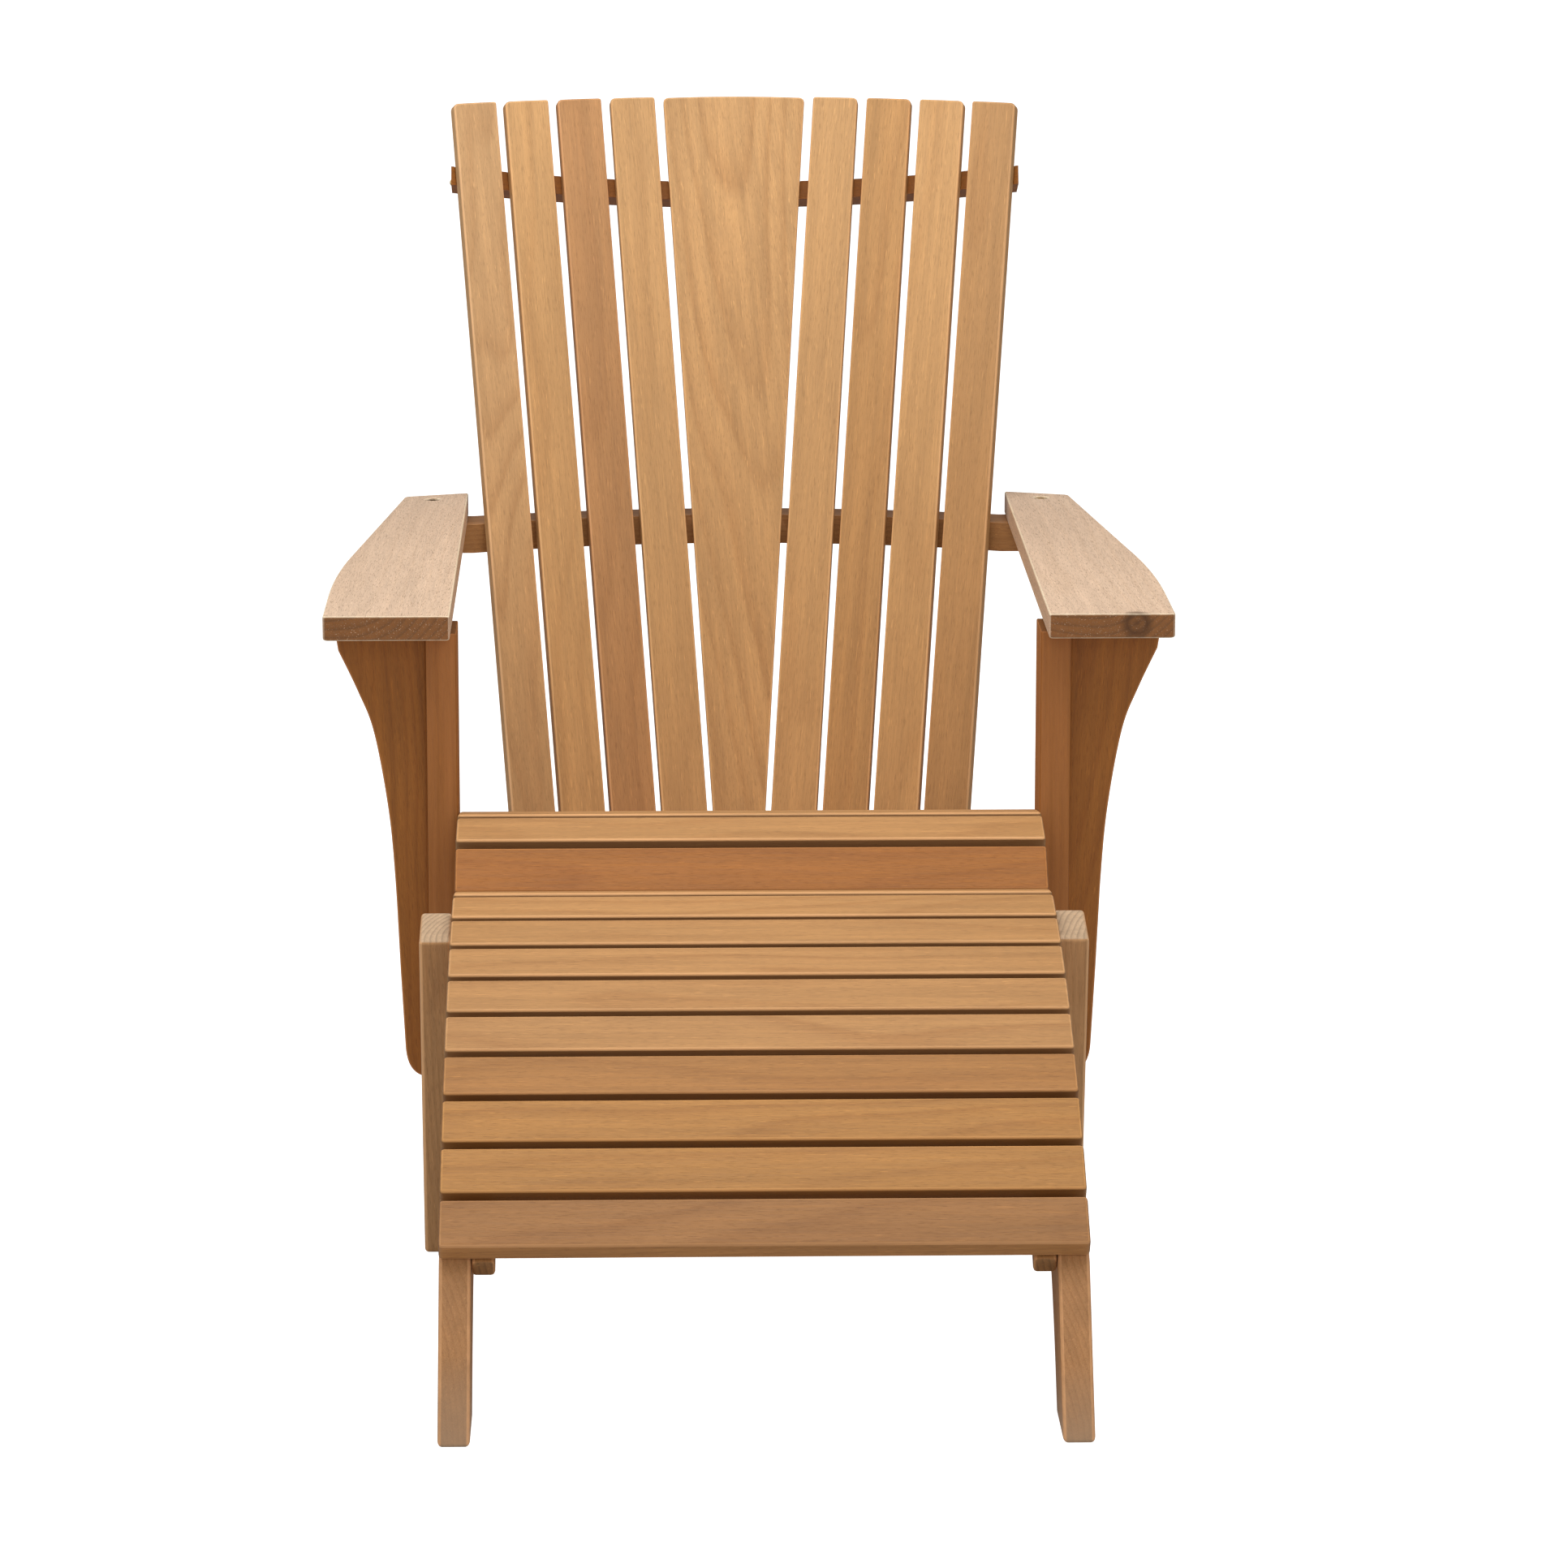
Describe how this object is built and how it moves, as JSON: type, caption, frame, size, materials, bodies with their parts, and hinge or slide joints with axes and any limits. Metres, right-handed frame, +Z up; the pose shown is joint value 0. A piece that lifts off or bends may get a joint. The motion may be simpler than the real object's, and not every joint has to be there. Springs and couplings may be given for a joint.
{
  "type": "adirondack chair with leg rest",
  "caption": "Slatted teak garden armchair with a reclined fan-shaped back, wide flat arms on curved brackets and a sloping seat, with a matching slatted leg rest standing in front.",
  "frame": {"origin": "middle of the footprint of chair and leg rest together, on the floor", "axes": "+Z up; +Y from the leg rest towards the back of the chair; +X to the right for someone facing the chair"},
  "size_m": [0.76, 1.5092, 0.9218],
  "materials": {
    "teak_back": "bare sanded teak, golden, straight and cathedral grain along each slat",
    "teak_seat": "bare sanded teak, grain along each slat, edges rounded over",
    "teak_rest": "bare sanded teak, slightly paler, grain along each slat, edges rounded over",
    "teak_arm": "bare sanded teak, pale and matt, short dark pores along the arm",
    "teak_frame": "bare sanded teak, grain along each board, pale rounded edges",
    "brass_bolt": "satin, slightly dulled, cross recess",
    "steel_bolt": "satin domed head"
  },
  "bodies": {
    "chair": {"arm_bolt_left": "brass_bolt", "arm_bolt_right": "brass_bolt", "arm_bracket_left": "teak_frame", "arm_bracket_right": "teak_frame", "arm_left": "teak_arm", "arm_rail": "teak_frame", "arm_right": "teak_arm", "back_slat_centre": "teak_back", "back_slat_left_1": "teak_back", "back_slat_left_2": "teak_back", "back_slat_left_3": "teak_back", "back_slat_left_4": "teak_back", "back_slat_right_1": "teak_back", "back_slat_right_2": "teak_back", "back_slat_right_3": "teak_back", "back_slat_right_4": "teak_back", "front_cross_rail": "teak_frame", "front_leg_left": "teak_frame", "front_leg_right": "teak_frame", "leg_bolt_left_1": "steel_bolt", "leg_bolt_left_2": "steel_bolt", "leg_bolt_right_1": "steel_bolt", "leg_bolt_right_2": "steel_bolt", "lower_back_rail": "teak_frame", "seat_board_rear": "teak_seat", "seat_cleat_left": "teak_frame", "seat_cleat_right": "teak_frame", "seat_slat_01": "teak_seat", "seat_slat_02": "teak_seat", "seat_slat_03": "teak_seat", "seat_slat_04": "teak_seat", "seat_slat_05": "teak_seat", "seat_slat_06": "teak_seat", "seat_slat_07": "teak_seat", "seat_slat_08": "teak_seat", "seat_slat_09": "teak_seat", "seat_slat_10": "teak_seat", "stringer_left": "teak_frame", "stringer_right": "teak_frame", "upper_back_rail": "teak_frame"},
    "leg_rest": {"post_bolt_left": "steel_bolt", "post_bolt_right": "steel_bolt", "rest_cleat_left": "teak_frame", "rest_cleat_right": "teak_frame", "rest_cross_rail": "teak_frame", "rest_post_left": "teak_frame", "rest_post_right": "teak_frame", "rest_slat_1": "teak_rest", "rest_slat_2": "teak_rest", "rest_slat_3": "teak_rest", "rest_slat_4": "teak_rest", "rest_slat_5": "teak_rest", "rest_slat_6": "teak_rest", "rest_slat_7": "teak_rest", "rest_slat_8": "teak_rest", "rest_slat_9": "teak_rest", "rest_stringer_left": "teak_frame", "rest_stringer_right": "teak_frame", "rest_strip_rear": "teak_rest"}
  },
  "joints": [
    {"name": "leg_rest_slide", "type": "slide", "parent": "chair", "child": "leg_rest", "axis": [0, -1, 0], "range_m": [0, 0.6]}
  ]
}
